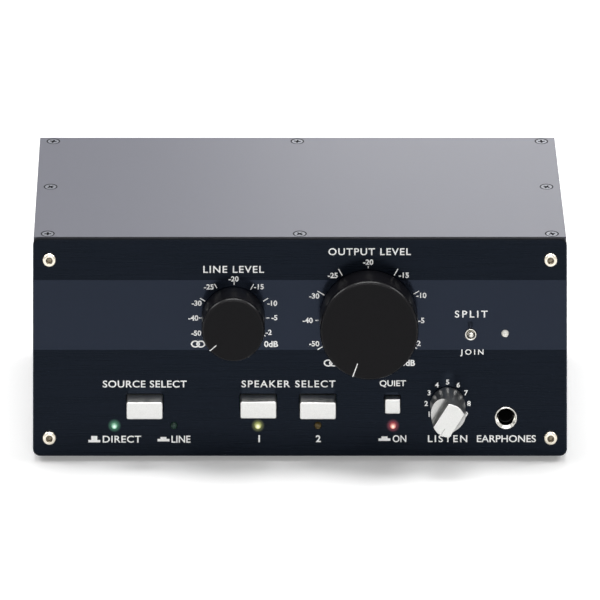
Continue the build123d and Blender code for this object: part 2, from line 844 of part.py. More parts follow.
for name, shape in nodes.items():
    export_step(shape, f"parts/{name}.step")
print(len(nodes), "nodes, panel face at y =", round(face_y, 3), "rear face at y =", round(back_y, 3))
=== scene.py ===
import json
from math import atan2, cos, degrees, hypot, pi, radians, sin

import bmesh
import bpy
from mathutils import Matrix, Vector


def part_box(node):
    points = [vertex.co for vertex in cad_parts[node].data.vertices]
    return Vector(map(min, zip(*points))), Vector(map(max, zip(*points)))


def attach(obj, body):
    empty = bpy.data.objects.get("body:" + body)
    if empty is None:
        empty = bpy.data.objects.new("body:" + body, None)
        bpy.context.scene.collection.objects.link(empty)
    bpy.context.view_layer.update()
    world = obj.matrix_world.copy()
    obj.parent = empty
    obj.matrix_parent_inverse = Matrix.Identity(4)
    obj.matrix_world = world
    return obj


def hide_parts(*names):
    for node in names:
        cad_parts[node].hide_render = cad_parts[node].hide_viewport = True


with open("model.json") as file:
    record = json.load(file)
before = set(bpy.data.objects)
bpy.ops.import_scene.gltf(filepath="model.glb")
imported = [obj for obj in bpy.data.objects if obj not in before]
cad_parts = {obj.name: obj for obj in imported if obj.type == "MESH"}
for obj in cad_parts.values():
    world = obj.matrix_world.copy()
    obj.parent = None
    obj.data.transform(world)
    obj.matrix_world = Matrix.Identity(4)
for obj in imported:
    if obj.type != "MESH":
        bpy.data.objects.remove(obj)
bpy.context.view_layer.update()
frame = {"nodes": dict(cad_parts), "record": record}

# Sizes in the dictionaries below are millimetres, and mm() turns them to metres.
# x runs to the right from the panel's middle, z up from its lower edge, and "out" away from its face.
panelLow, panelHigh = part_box("front_panel")
faceY = panelLow.y
print("frame loaded:", len(frame["nodes"]), "nodes")


def mm(value):
    return value / 1000


def newest(name):  # what an operator has just added
    added = bpy.context.object
    added.name = name
    return added


def onPanel(x, z, out=0.0):
    return Vector((mm(x), faceY - mm(out), panelLow.z + mm(z)))


def middleOf(node):  # x and z of a node's middle, in millimetres on the panel
    low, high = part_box(node)
    middle = (low + high) / 2
    return middle.x * 1000, (middle.z - panelLow.z) * 1000


# ways that a piece drawn along its own +Z can face
facing = {"front": (pi / 2, 0, 0), "up": (0, 0, 0)}

# the camera: a view camera, whose picture plane stays parallel to the front panel while it looks down
viewPoint = {
    "aside": -31.8,  # the lens, from the panel's middle
    "away": 2871.9,  # in front of the panel's face
    "above": 1279.7,  # above the panel's lower edge
    "aimX": 0.02,  # the point of the panel in the middle of the picture
    "aimZ": 64.4,
    "focal": 7573.2,  # focal length in pixels of a picture as wide as "pixels"
    "pixels": 600,
    "sensor": 36,
    "near": 0.1,  # in metres, the nearest and the farthest that it shows
    "far": 20,
}


def addCamera():
    eye = onPanel(viewPoint["aside"], viewPoint["above"], viewPoint["away"])
    aim = onPanel(viewPoint["aimX"], viewPoint["aimZ"])
    bpy.ops.object.camera_add()
    camera = newest("viewCamera")
    camera.data.sensor_width = viewPoint["sensor"]
    camera.data.lens = viewPoint["focal"] / viewPoint["pixels"] * viewPoint["sensor"]
    camera.data.clip_start = viewPoint["near"]
    camera.data.clip_end = viewPoint["far"]
    bpy.ops.object.empty_add()
    tripod = newest("tripod")
    standards = Matrix.Identity(4)
    standards.col[0][:3] = (1, 0, 0)
    standards.col[1][:3] = (0, 0, 1)  # the picture's upright stays upright
    standards.col[2][:3] = (eye - aim).normalized()
    standards.col[3][:3] = eye
    camera.parent = tripod
    camera.matrix_parent_inverse = standards
    bpy.context.scene.camera = camera


addCamera()
print("camera placed")


# materials
def colourOf(hexValue):  # sRGB hex to linear
    channels = [int(hexValue[i:i + 2], 16) / 255 for i in (0, 2, 4)]
    linear = [c / 12.92 if c <= 0.04045 else ((c + 0.055) / 1.055) ** 2.4 for c in channels]
    return (*linear, 1)


def addNode(owner, kind, settings=(), links=()):  # owner: a material or the world
    node = owner.node_tree.nodes.new("ShaderNode" + kind)
    for name, value in dict(settings).items():
        if isinstance(name, int) or name in node.inputs:
            node.inputs[name].default_value = value
        else:
            setattr(node, name, value)
    for name, source in dict(links).items():
        owner.node_tree.links.new(source, node.inputs[name])
    return node


def setRamp(node, *stops):  # each stop is a place and a colour
    elements = node.color_ramp.elements
    while len(elements) < len(stops):
        elements.new(1)
    for element, (position, colour) in zip(elements, stops):
        element.position = position
        element.color = colourOf(colour)


# Each finish: two colours that its grain mixes, grain (mm, or mm along x, y, z), roughness from and to,
# bump (mm) and the constant settings of the shader.
finishes = {
    # black anodised aluminium, brushed lengthwise: deep blue-black, satin, with faint long streaks
    "blackAnodised": {
        "colours": ("05080D", "090D14"), "grain": (22, 0.5, 0.5), "rough": (0.17, 0.25), "bump": 0.0012,
        "shader": {"Specular IOR Level": 0.145, "Specular Tint": "C4DAFF"}},
    # the sawn edge of the same plate: anodised but not brushed, so matt and darker
    "anodisedEdge": {
        "colours": ("04050A", "080A10"), "grain": 0.5, "rough": (0.55, 0.7), "bump": 0.003,
        "shader": {"Specular IOR Level": 0.06}},
    # two-pack gloss lacquer, screen printed over the anodising: a mirror that is dim and slightly blue
    "bandLacquer": {
        "colours": ("0B0E15", "0E121A"), "grain": (30, 0.6, 0.6), "rough": (0.13, 0.18), "bump": 0.0008,
        "shader": {"Specular IOR Level": 0.4, "Specular Tint": "B9CCF2"}},
    # white epoxy screen ink: opaque, matt, a little uneven
    "whiteInk": {
        "colours": ("F2F2F0", "FCFCFA"), "grain": 0.6, "rough": (0.55, 0.7), "bump": 0.004},
    # satin polyurethane paint on steel: blue-grey with a fine orange peel that softens what it mirrors
    "greyPaint": {
        "colours": ("54555F", "5E5F69"), "grain": (1.6, 0.5, 0.9), "rough": (0.4, 0.5), "bump": 0.006,
        "shader": {"Specular IOR Level": 0.5}},
    # black powder coat: fine leather-like texture that breaks up every highlight
    "blackPowder": {
        "colours": ("16171A", "1D1E22"), "grain": 0.7, "rough": (0.5, 0.62), "bump": 0.03,
        "shader": {"Specular IOR Level": 0.4}},
    # painted shade: an almost black, matt colour for the countersinks, the cover screws' cross recesses
    # and head chamfers, where shade falls
    "darkSeat": {
        "colours": ("060608", "0C0C10"), "grain": 0.5, "rough": (0.6, 0.8), "bump": 0.005,
        "shader": {"Specular IOR Level": 0.15}},
    # ABS moulded in a spark-eroded tool, satin black
    "knobAbs": {
        "colours": ("08080A", "0D0C0F"), "grain": 0.5, "rough": (0.3, 0.38), "bump": 0.004,
        "shader": {"Specular IOR Level": 0.1}},
    # the same ABS on the knobs' rounded edges, burnished by fingers so that they catch the light
    "burnishedAbs": {
        "colours": ("0B0B0D", "111013"), "grain": 0.8, "rough": (0.18, 0.24), "bump": 0.001,
        "shader": {"Specular IOR Level": 0.17}},
    # satin chrome plated on ABS: bright, neutral, reflections blurred by a fine blasted grain
    "satinChrome": {
        "colours": ("C4C4C2", "CECECC"), "grain": 0.4, "rough": (0.28, 0.33), "bump": 0.0012,
        "shader": {"Metallic": 1}},
    # bright nickel plate: slightly warm, almost a mirror, faintly cloudy
    "nickelPlate": {
        "colours": ("DDD5C4", "EAE3D5"), "grain": 1.2, "rough": (0.12, 0.2), "bump": 0.001,
        "shader": {"Metallic": 1}},
    # nickel darkened with painted shade, for the hex key recess and the cone round it
    "hexNickel": {
        "colours": ("5A5244", "8C8270"), "grain": 0.8, "rough": (0.2, 0.32), "bump": 0.002,
        "shader": {"Metallic": 1}},
    # the same nickel on turned brass: polished after turning, so cleaner and brighter
    "turnedNickel": {
        "colours": ("C6C4BE", "D4D2CC"), "grain": 1.2, "rough": (0.1, 0.16), "bump": 0.001,
        "shader": {"Metallic": 1}},
    # zinc plated steel, bluish and slightly dull
    "zincPlate": {
        "colours": ("A9ABAE", "BFC1C4"), "grain": 0.8, "rough": (0.28, 0.42), "bump": 0.003,
        "shader": {"Metallic": 1}},
    # grey cover screws: painted over zinc, the same grey as the cover
    "greyScrew": {
        "colours": ("6C6E76", "787A82"), "grain": 0.6, "rough": (0.35, 0.48), "bump": 0.004,
        "shader": {"Metallic": 0.2}},
    # black oxide on steel: oily near-black metal
    "blackOxide": {
        "colours": ("1B1B1D", "29292B"), "grain": 0.5, "rough": (0.35, 0.5), "bump": 0.003,
        "shader": {"Metallic": 0.7}},
    # natural rubber feet: dull charcoal, a fine pitted skin
    "blackRubber": {
        "colours": ("1A1A1A", "262626"), "grain": 0.4, "rough": (0.75, 0.9), "bump": 0.02,
        "shader": {"Specular IOR Level": 0.3}},
    # glass-filled nylon of the sockets: black, satin, with a faint flow pattern
    "socketNylon": {
        "colours": ("131314", "1C1C1E"), "grain": (0.8, 0.8, 2.5), "rough": (0.36, 0.5), "bump": 0.006,
        "shader": {"Specular IOR Level": 0.45}},
    # white acetal plungers: milky and slippery
    "whiteAcetal": {
        "colours": ("D9D8D2", "E6E5E0"), "grain": 1.5, "rough": (0.3, 0.42), "bump": 0.002,
        "shader": {"Subsurface Weight": 0.1}},
    # hard gold over nickel on the contact pins
    "goldPlate": {
        "colours": ("D9A441", "E8BD63"), "grain": 0.7, "rough": (0.14, 0.24), "bump": 0.001,
        "shader": {"Metallic": 1}},
    # tin plated steel cans of the pots: grey, with rolling marks
    "tinCan": {
        "colours": ("98989A", "B4B4B6"), "grain": (4, 0.4, 0.4), "rough": (0.3, 0.45), "bump": 0.002,
        "shader": {"Metallic": 1}},
    # green solder mask over glass-fibre board: glossy, the copper showing through as darker cloud
    "solderMask": {
        "colours": ("0E4A28", "17643A"), "grain": 3.5, "rough": (0.22, 0.34), "bump": 0.01,
        "shader": {"Specular IOR Level": 0.5}},
    # grey vinyl ribbon: its cores show as ridges 1.27 mm apart
    "ribbonVinyl": {
        "colours": ("77777C", "96969B"), "grain": (1.27, 60, 60), "rough": (0.45, 0.55), "bump": 0.1},
    # shrink sleeve on the capacitors: dark blue, glossy
    "capacitorSleeve": {
        "colours": ("12183A", "1B2350"), "grain": 2, "rough": (0.18, 0.28), "bump": 0.003,
        "shader": {"Coat Weight": 0.3}},
    # lamps that are off: tinted epoxy with a dark body behind it
    "greenEpoxy": {
        "colours": ("122A22", "213D33"), "grain": 1, "rough": (0.08, 0.14), "bump": 0.001,
        "shader": {"Specular IOR Level": 0.2}},
    "amberEpoxy": {
        "colours": ("443718", "5E5030"), "grain": 1, "rough": (0.08, 0.14), "bump": 0.001,
        "shader": {"Specular IOR Level": 0.2}},
    # milky white epoxy: it scatters the light that falls in, with a faint glow of its own
    "milkyEpoxy": {
        "colours": ("DEDCD2", "EAE8E0"), "grain": 0.8, "rough": (0.2, 0.3), "bump": 0.004,
        "shader": {"Coat Weight": 0.3, "Emission Color": "FFFFF4", "Emission Strength": 0.06}},
}
grainEdges = (0.35, 0.65)  # the part of the noise that carries most of the grain
grainDetail = 3  # how many finer layers the noise has


def newMaterial(name):
    material = bpy.data.materials.new(name)
    material.use_nodes = True
    return material, material.node_tree.nodes["Principled BSDF"]


def makeFinish(name, finish):
    material, shader = newMaterial(name)
    for socket, value in finish.get("shader", {}).items():
        shader.inputs[socket].default_value = colourOf(value) if isinstance(value, str) else value
    width = finish["grain"]
    widths = width if isinstance(width, tuple) else (width, width, width)
    place = addNode(material, "TexCoord")
    size = addNode(material, "Mapping", {"Scale": [1 / mm(w) for w in widths]},
                   {"Vector": place.outputs["Object"]})
    grain = addNode(material, "TexNoise", {"Scale": 1, "Detail": grainDetail},
                    {"Vector": size.outputs["Vector"]})
    colours = addNode(material, "ValToRGB", {}, {"Fac": grain.outputs["Fac"]})
    setRamp(colours, *zip(grainEdges, finish["colours"]))
    rough = addNode(material, "MapRange", {"From Min": grainEdges[0], "From Max": grainEdges[1],
                                           "To Min": finish["rough"][0], "To Max": finish["rough"][1]},
                    {"Value": grain.outputs["Fac"]})
    bump = addNode(material, "Bump", {"Distance": mm(finish["bump"])},
                   {"Height": grain.outputs["Fac"]})
    links = material.node_tree.links
    links.new(colours.outputs["Color"], shader.inputs["Base Color"])
    links.new(rough.outputs["Result"], shader.inputs["Roughness"])
    links.new(bump.outputs["Normal"], shader.inputs["Normal"])
    return material


finishOf = {name: makeFinish(name, finish) for name, finish in finishes.items()}

# lamps that are lit: white-hot in the middle, tinted epoxy round it, and a painted glow on the panel
# round each
litLamps = {
    "input_main_lamp": {"core": "EEFFF8", "inner": "9CD8B8", "tint": "477A60", "halo": "3C6350"},
    "output_1_lamp": {"core": "FFFFE0", "inner": "E4E4A0", "tint": "888E52", "halo": "5C5F3C"},
    "mute_lamp": {"core": "FFF2DC", "inner": "F0A294", "tint": "923C44", "halo": "6A343E"},
}
glowSize = {"lamp": 1.5, "core": 0.3, "inner": 0.75, "tint": 1.3, "halo": 2.9}  # radii
litBody = {"colour": "101010", "rough": 0.15}  # dark beside its own light


def addReach(material, node):  # how far a point of the panel's plane is from a lamp's axis
    x, z = middleOf(node)
    place = addNode(material, "TexCoord")
    centred = addNode(material, "Mapping", {"Location": -onPanel(x, z)},
                      {"Vector": place.outputs["Object"]})
    flat = addNode(material, "VectorMath", {"operation": "MULTIPLY", 1: (1, 0, 1)},
                   {0: centred.outputs["Vector"]})
    reach = addNode(material, "VectorMath", {"operation": "LENGTH"}, {0: flat.outputs["Vector"]})
    return addNode(material, "MapRange", {"From Max": mm(glowSize["halo"])},
                   {"Value": reach.outputs["Value"]})


def makeLitEpoxy(node, lamp):
    material, shader = newMaterial("litEpoxy_" + node)
    shader.inputs["Base Color"].default_value = colourOf(litBody["colour"])
    shader.inputs["Roughness"].default_value = litBody["rough"]
    shader.inputs["Emission Strength"].default_value = 1.0
    reach = addReach(material, node)
    glow = addNode(material, "ValToRGB", {}, {"Fac": reach.outputs["Result"]})
    rings = ("core", "inner", "tint")
    setRamp(glow, *[(glowSize[ring] / glowSize["halo"], lamp[ring]) for ring in rings])
    material.node_tree.links.new(glow.outputs["Color"], shader.inputs["Emission Color"])
    return material


def addPaintedHalos(material):  # painted glow: emission on the anodised face round each lit lamp, standing in for the light the lamp spreads
    total = None
    for node, lamp in litLamps.items():
        reach = addReach(material, node)
        halo = addNode(material, "ValToRGB", {}, {"Fac": reach.outputs["Result"]})
        halo.color_ramp.interpolation = "EASE"
        setRamp(halo, (glowSize["lamp"] / glowSize["halo"], lamp["halo"]), (1, "000000"))
        light = halo.outputs["Color"]
        if total:
            both = addNode(material, "VectorMath", {"operation": "ADD"}, {0: total, 1: light})
            light = both.outputs["Vector"]
        total = light
    shader = material.node_tree.nodes["Principled BSDF"]
    shader.inputs["Emission Strength"].default_value = 1.0
    material.node_tree.links.new(total, shader.inputs["Emission Color"])


# the panel's finish also carries the painted glow round each lit lamp
addPaintedHalos(finishOf["blackAnodised"])
for node, lamp in litLamps.items():
    finishOf[node] = makeLitEpoxy(node, lamp)

# the finish that each of the record's material slots gets
slotFinishes = {
    "black_anodised_panel": "blackAnodised", "grey_painted_steel": "greyPaint",
    "black_painted_steel": "blackPowder", "nickel_fasteners": "nickelPlate", "grey_screws": "greyScrew",
    "zinc_hardware": "zincPlate", "black_screws": "blackOxide", "black_knob_plastic": "knobAbs",
    "satin_chrome_plastic": "satinChrome", "black_rubber": "blackRubber", "black_plastic": "socketNylon",
    "white_plastic": "whiteAcetal", "gold_contacts": "goldPlate", "pot_cans": "tinCan",
    "green_circuit_board": "solderMask", "ribbon_grey": "ribbonVinyl",
    "capacitor_sleeve": "capacitorSleeve", "green_lamp": "greenEpoxy", "amber_lamp": "amberEpoxy",
    "red_lamp": "amberEpoxy", "white_lamp": "milkyEpoxy",
}
slotOf = {row["node"]: row["material_slot"] for row in frame["record"]["subparts"]}
bodies = frame["record"]["behaviour"]["bodies"]
bodyOf = {node: body for body, nodes in bodies.items() for node in nodes}
for node, piece in frame["nodes"].items():
    piece.data.materials.clear()
    piece.data.materials.append(finishOf[slotFinishes[slotOf[node]]])
print("materials made:", len(finishOf))


# modelling
meshCare = {
    "spin": 0.001,  # vertices this close are merged where a spin closes
    "cad": 0.002,  # and this close in a copy of a CAD node
    "flat": 0.5,  # degrees: faces that bend less than this are joined
}


def deselect():
    bpy.ops.object.select_all(action="DESELECT")


def applyPlace():
    bpy.ops.object.transform_apply(location=True, rotation=True, scale=True)


def selectMesh():
    bpy.ops.mesh.select_all(action="SELECT")


def extrude(step):
    bpy.ops.mesh.extrude_region_move(TRANSFORM_OT_translate={"value": step})


def endEdit():
    bpy.ops.object.mode_set(mode="OBJECT")


def smooth(sharp):  # edges that bend by more degrees than this stay sharp
    bpy.ops.object.shade_smooth_by_angle(angle=radians(sharp))


def pick(*pieces):
    deselect()
    for piece in pieces:
        piece.select_set(True)
    bpy.context.view_layer.objects.active = pieces[0]


def startEdit(piece, mode):
    pick(piece)
    bpy.ops.object.mode_set(mode="EDIT")
    bpy.ops.mesh.select_mode(type=mode)


def selectWhere(piece, kind, test):  # in edit mode: faces, edges or verts that pass the test
    bpy.ops.mesh.select_all(action="DESELECT")
    mesh = bmesh.from_edit_mesh(piece.data)
    for item in getattr(mesh, kind):
        item.select_set(bool(test(item)))
    bmesh.update_edit_mesh(piece.data)


def drawChain(name, points):  # a line of vertices through (x, y, z) points
    deselect()
    bpy.ops.mesh.primitive_plane_add(size=mm(1))
    piece = newest(name)
    startEdit(piece, "VERT")
    selectMesh()
    bpy.ops.mesh.merge(type="CENTER")
    bpy.ops.transform.translate(value=[mm(c) for c in points[0]])
    for start, end in zip(points, points[1:]):
        extrude([mm(b - a) for a, b in zip(start, end)])
    selectMesh()
    return piece


def turnOnLathe(name, profile, steps):  # profile: (radius, height) along the piece's own +Z
    piece = drawChain(name, [(radius, 0, height) for radius, height in profile])
    bpy.ops.mesh.spin(steps=steps, angle=2 * pi, center=(0, 0, 0), axis=(0, 0, 1))
    selectMesh()
    bpy.ops.mesh.remove_doubles(threshold=mm(meshCare["spin"]))
    bpy.ops.mesh.normals_make_consistent(inside=False)
    endEdit()
    return piece


def arc(x, z, radius, start, end, steps):  # points of an arc in a profile, angles in degrees
    turns = [radians(start + (end - start) * i / steps) for i in range(steps + 1)]
    return [(x + radius * cos(a), z + radius * sin(a)) for a in turns]


def bend(before, corner, after, cut, steps=6):  # points that round a corner of a profile
    ends = [Vector(corner) + (Vector(p) - Vector(corner)).normalized() * cut for p in (before, after)]
    middle = Vector(corner)
    shares = [i / steps for i in range(steps + 1)]
    return [tuple(ends[0] * (1 - t) ** 2 + middle * 2 * t * (1 - t) + ends[1] * t ** 2) for t in shares]


def addBox(name, low, high):  # a box between two corners in millimetres
    middle = [mm(a + b) / 2 for a, b in zip(low, high)]
    deselect()
    bpy.ops.mesh.primitive_cube_add(size=1, location=middle)
    piece = newest(name)
    piece.scale = [mm(b - a) for a, b in zip(low, high)]
    applyPlace()
    return piece


def addRod(name, radius, low, high, sides, turn=(0, 0, 0), middle=(0, 0, 0)):
    deselect()
    bpy.ops.mesh.primitive_cylinder_add(vertices=sides, radius=mm(radius), depth=mm(high - low))
    piece = newest(name)
    piece.location = (0, 0, mm(low + high) / 2)
    applyPlace()
    piece.rotation_euler = turn
    piece.location = [mm(c) for c in middle]
    applyPlace()
    return piece


def cutAway(piece, *cutters):  # and removes the cutters
    for cutter in cutters:
        cut = piece.modifiers.new("cut", "BOOLEAN")
        cut.operation = "DIFFERENCE"
        cut.solver = "EXACT"
        cut.object = cutter
        pick(piece)
        bpy.ops.object.modifier_apply(modifier=cut.name)
        bpy.data.objects.remove(cutter)


def cleanMesh(merge):  # ends edit mode, once what lies that close is merged and flat faces are joined
    selectMesh()
    bpy.ops.mesh.remove_doubles(threshold=mm(merge))
    bpy.ops.mesh.dissolve_limited(angle_limit=radians(meshCare["flat"]))
    endEdit()


def softenEdges(piece, width, segments, sharp=35):  # edges that bend by more than "sharp" degrees
    pick(piece)
    smooth(sharp)
    bevel = piece.modifiers.new("edges", "BEVEL")
    bevel.width = mm(width)
    bevel.segments = segments
    bevel.limit_method = "ANGLE"
    bevel.angle_limit = radians(sharp)
    level = piece.modifiers.new("shading", "WEIGHTED_NORMAL")
    level.keep_sharp = True
    bpy.ops.object.modifier_apply(modifier=bevel.name)
    smooth(sharp)
    bpy.ops.object.modifier_apply(modifier=level.name)


def copyPiece(piece):
    twin = piece.copy()
    twin.data = piece.data.copy()
    bpy.context.collection.objects.link(twin)
    return twin


def joinPieces(name, pieces):
    pick(*pieces)
    if len(pieces) > 1:
        bpy.ops.object.join()
    pieces[0].name = name
    return pieces[0]


def placePiece(piece, place, turn=facing["front"]):  # in the mesh, so the object stays at the origin
    pick(piece)
    piece.rotation_euler = turn
    piece.location = place
    applyPlace()
    return piece


def mergedCopy(node, name):  # a CAD node's mesh, merged and cleaned
    piece = bpy.data.objects.new(name, frame["nodes"][node].data.copy())
    bpy.context.collection.objects.link(piece)
    startEdit(piece, "VERT")
    selectMesh()
    bpy.ops.mesh.customdata_custom_splitnormals_clear()
    cleanMesh(meshCare["cad"])
    return piece


def coat(piece, finish):
    piece.data.materials.append(finishOf[finish])


def finishPiece(piece, node, finish=None):  # material, slot, body and the node that the piece stands for
    finish = finish or slotFinishes[slotOf[node]]
    if not piece.data.materials:
        coat(piece, finish)
    piece.data.materials[0] = finishOf[finish]
    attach(piece, bodyOf[node])
    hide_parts(node)
    return piece


def paintFaces(piece, finish, test):  # a second finish on the faces that pass the test
    coat(piece, finish)
    index = len(piece.data.materials) - 1
    for face in piece.data.polygons:
        if test(face):
            face.material_index = index


def softenedNode(node, name, edge, sharp=35, finish=None):  # a CAD node's own shape with its edges broken
    piece = mergedCopy(node, name)
    softenEdges(piece, edge, 2, sharp)
    return finishPiece(piece, node, finish)


def spreadCopies(piece, name, node, spots):  # one piece made of copies, each at a spot's place and turn
    copies = [placePiece(copyPiece(piece), place, turn) for place, turn in spots]
    bpy.data.objects.remove(piece)
    return finishPiece(joinPieces(name, copies), node)


def knobTurn(pointer):  # turns a piece drawn upright so that its +Y points this many degrees clockwise
    return (Matrix.Rotation(pi / 2, 3, "X") @ Matrix.Rotation(-radians(pointer), 3, "Z")).to_euler()


# front panel: a 2 mm plate, its holes broken by a small bevel, with a lacquered band from end to end
frontPlate = {
    "edge": 0.12,
    "chamfer": 0.5,
    "bandLow": 43.9,
    "bandHigh": 72.6,
    "lean": 0.3,  # how far a face's normal leans to a side before it counts as facing it
}


def makeFrontPlate():
    piece = mergedCopy("front_panel", "frontPlate")
    for z in (frontPlate["bandLow"], frontPlate["bandHigh"]):
        startEdit(piece, "VERT")
        selectMesh()
        bpy.ops.mesh.bisect(plane_co=onPanel(0, z), plane_no=(0, 0, 1))
        endEdit()
    softenEdges(piece, frontPlate["edge"], 2)
    finishPiece(piece, "front_panel")
    low, high = onPanel(0, frontPlate["bandLow"]).z, onPanel(0, frontPlate["bandHigh"]).z
    side = panelHigh.x - mm(frontPlate["chamfer"])
    lean = frontPlate["lean"]
    paintFaces(piece, "anodisedEdge", lambda face: face.normal.y > -lean or face.normal.z > lean)
    # the chamfers at the plate's two ends get the band's lighter, glossier finish: a painted highlight
    # along the ends
    paintFaces(piece, "bandLacquer", lambda face: face.normal.y < -lean and (
        low < face.center.z < high or abs(face.center.x) > side and abs(face.normal.x) > lean))


makeFrontPlate()
print("front panel made")


# case: cover, bent chassis and rear panel
caseShell = {
    "coverEdge": 0.2,
    "coverSharp": 50,  # degrees: the cover's countersinks keep their edges
    "seatSlope": (0.4, 0.95),  # how far the countersinks' faces point up
    "seatSize": 2,
    "chassisEdge": 0.15,
    "rearEdge": 0.1,
}


def makeCase():
    size = caseShell
    cover = softenedNode("top_cover", "coverPlate", size["coverEdge"], size["coverSharp"])
    low, high = size["seatSlope"]
    small = mm(size["seatSize"]) ** 2
    # painted shade: the cover's countersink faces are made near-black
    paintFaces(cover, "darkSeat", lambda face: low < face.normal.z < high and face.area < small)
    softenedNode("chassis", "chassisShell", size["chassisEdge"])
    softenedNode("rear_panel", "rearPlate", size["rearEdge"])


makeCase()
print("case made")


# panel screws: button heads with a hex key, four near the panel's corners
buttonHead = {
    "radius": 2.85, "height": 1.6, "round": 1.2, "shank": 1.5, "length": 8.0, "edge": 0.06,
    "hex": 2.0, "hexDepth": 1.0,
    "dish": 0.45,  # the cone round the hex key, as wide as it is deep
    "mouth": 0.7, "mouthLow": 0.3,  # the part with painted shade: its share of the cone's width, and the height where it starts
    "side": 6.8, "low": 7.8, "top": 8.4,  # from the panel's sides, lower edge and upper edge
}


def makePanelScrews():
    size = buttonHead
    top, half, dish, shank = size["height"], size["hex"] / 2, size["dish"], size["shank"]
    profile = [(0, top - dish), (half, top - dish), (half + dish, top)]
    profile += arc(size["radius"] - size["round"], top - size["round"], size["round"], 90, 0, 8)
    profile += [(size["radius"], 0), (shank, 0), (shank, -size["length"]), (0, -size["length"])]
    screw = turnOnLathe("panelScrew", profile, steps=64)
    cutAway(screw, addRod("hexKey", half / cos(pi / 6), top - size["hexDepth"], top + 1, 6))
    softenEdges(screw, size["edge"], 2, sharp=40)
    coat(screw, "nickelPlate")
    low, wide = mm(size["mouthLow"]), mm(half + dish * size["mouth"])
    # painted shade: the hex recess and the inner part of its cone get the darkened nickel
    paintFaces(screw, "hexNickel", lambda face: face.center.z > low and hypot(*face.center[:2]) < wide)
    xs = (panelLow.x + mm(size["side"]), panelHigh.x - mm(size["side"]))
    zs = (panelLow.z + mm(size["low"]), panelHigh.z - mm(size["top"]))
    spots = [(Vector((x, faceY, z)), facing["front"]) for x in xs for z in zs]
    spreadCopies(screw, "panelScrews", "panel_screws", spots)


# cover screws: countersunk heads with a cross recess, three along each side and two in the middle
sunkHead = {
    "radius": 2.65, "drop": 0.03, "chamfer": 0.32, "shank": 1.5, "length": 5.0, "edge": 0.04,
    "cross": 2.9, "crossWidth": 0.8, "crossDepth": 0.8,
    "shadow": 0.05,  # below this depth the screw gets painted shade: its cross recess, head chamfer and cone
    "turn": 37,  # degrees from one screw to the next, as each stopped where it was tight
    "side": 5.75, "front": 5.4, "rear": 3.9,  # from the cover's sides, the panel's face and the back
}


def makeCoverScrews():
    size = sunkHead
    radius, drop, shank = size["radius"], size["drop"], size["shank"]
    cone = drop + size["chamfer"]  # the cone starts this deep and narrows to the shank at 45 degrees
    profile = [(0, -drop), (radius - size["chamfer"], -drop), (radius, -cone),
               (shank, -cone - radius + shank), (shank, -size["length"]), (0, -size["length"])]
    screw = turnOnLathe("coverScrew", profile, steps=64)
    half, wide, deep = size["cross"] / 2, size["crossWidth"] / 2, size["crossDepth"]
    cutAway(screw, addBox("slot", (-half, -wide, -deep), (half, wide, 1)),
            addBox("slot", (-wide, -half, -deep), (wide, half, 1)))
    softenEdges(screw, size["edge"], 1, sharp=40)
    coat(screw, "greyScrew")
    # painted shade: the recess, the chamfer round the head and the cone go near-black
    paintFaces(screw, "darkSeat", lambda face: face.center.z < -mm(drop + size["shadow"]))
    low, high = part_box("top_cover")
    front, rear = faceY + mm(size["front"]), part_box("rear_panel")[1].y - mm(size["rear"])
    middle = (front + rear) / 2
    left, right = low.x + mm(size["side"]), high.x - mm(size["side"])
    rows = {left: (front, middle, rear), right: (front, middle, rear), 0: (front, rear)}
    places = [Vector((x, y, high.z)) for x, row in rows.items() for y in row]
    spots = [(place, (0, 0, radians(size["turn"] * i % 90))) for i, place in enumerate(places)]
    spreadCopies(screw, "coverScrews", "cover_screws", spots)


makePanelScrews()
makeCoverScrews()
print("fasteners made")


inkDepth = 0.03  # how far white ink stands out of what it is printed on

# volume knobs: hollow ABS shells with a chamfered face, a boss for the shaft and a white pointer
knobShell = {
    "gap": 0.6, "reach": 12.1, "wall": 2.4, "top": 3.0, "chamfer": 0.8,
    "boss": 7.0, "bossLow": 3.6, "bore": 3.02, "grub": 1.55, "grubHeight": 6.2,
    "outerEdge": 0.8, "innerEdge": 0.15,  # how far the chamfer's two edges are rounded
    "edgeSlopes": ((2, 43), (47, 88)),  # degrees: the faces of those rounded edges
}
volumeKnobs = {
    "main": {"radius": 20.25, "pointer": -160, "from": 14.0, "to": 20.0, "width": 0.38},
    "aux": {"radius": 13.0, "pointer": -131, "from": 9.2, "to": 12.8, "width": 0.36},
}


def isKnobEdge(face, radius):  # the rounded edges on each side of the chamfer
    size = knobShell
    outside = hypot(*face.center[:2]) > mm(radius - size["chamfer"] - size["innerEdge"])
    high = face.center.z > mm(size["reach"] - size["chamfer"] - size["outerEdge"])
    slope = degrees(atan2(face.normal.z, hypot(*face.normal[:2])))
    return outside and high and any(start < slope < end for start, end in size["edgeSlopes"])


def inkStrip(name, profile, width):  # an ink line along +Y that follows a profile of (reach, height)
    piece = drawChain(name, [(-width / 2, reach, height) for reach, height in profile])
    extrude((mm(width), 0, 0))
    endEdit()
    thick = piece.modifiers.new("ink", "SOLIDIFY")
    thick.thickness = mm(inkDepth * 2)
    thick.offset = 0
    pick(piece)
    bpy.ops.object.modifier_apply(modifier=thick.name)
    startEdit(piece, "FACE")
    selectMesh()
    bpy.ops.mesh.normals_make_consistent(inside=False)
    endEdit()
    return piece


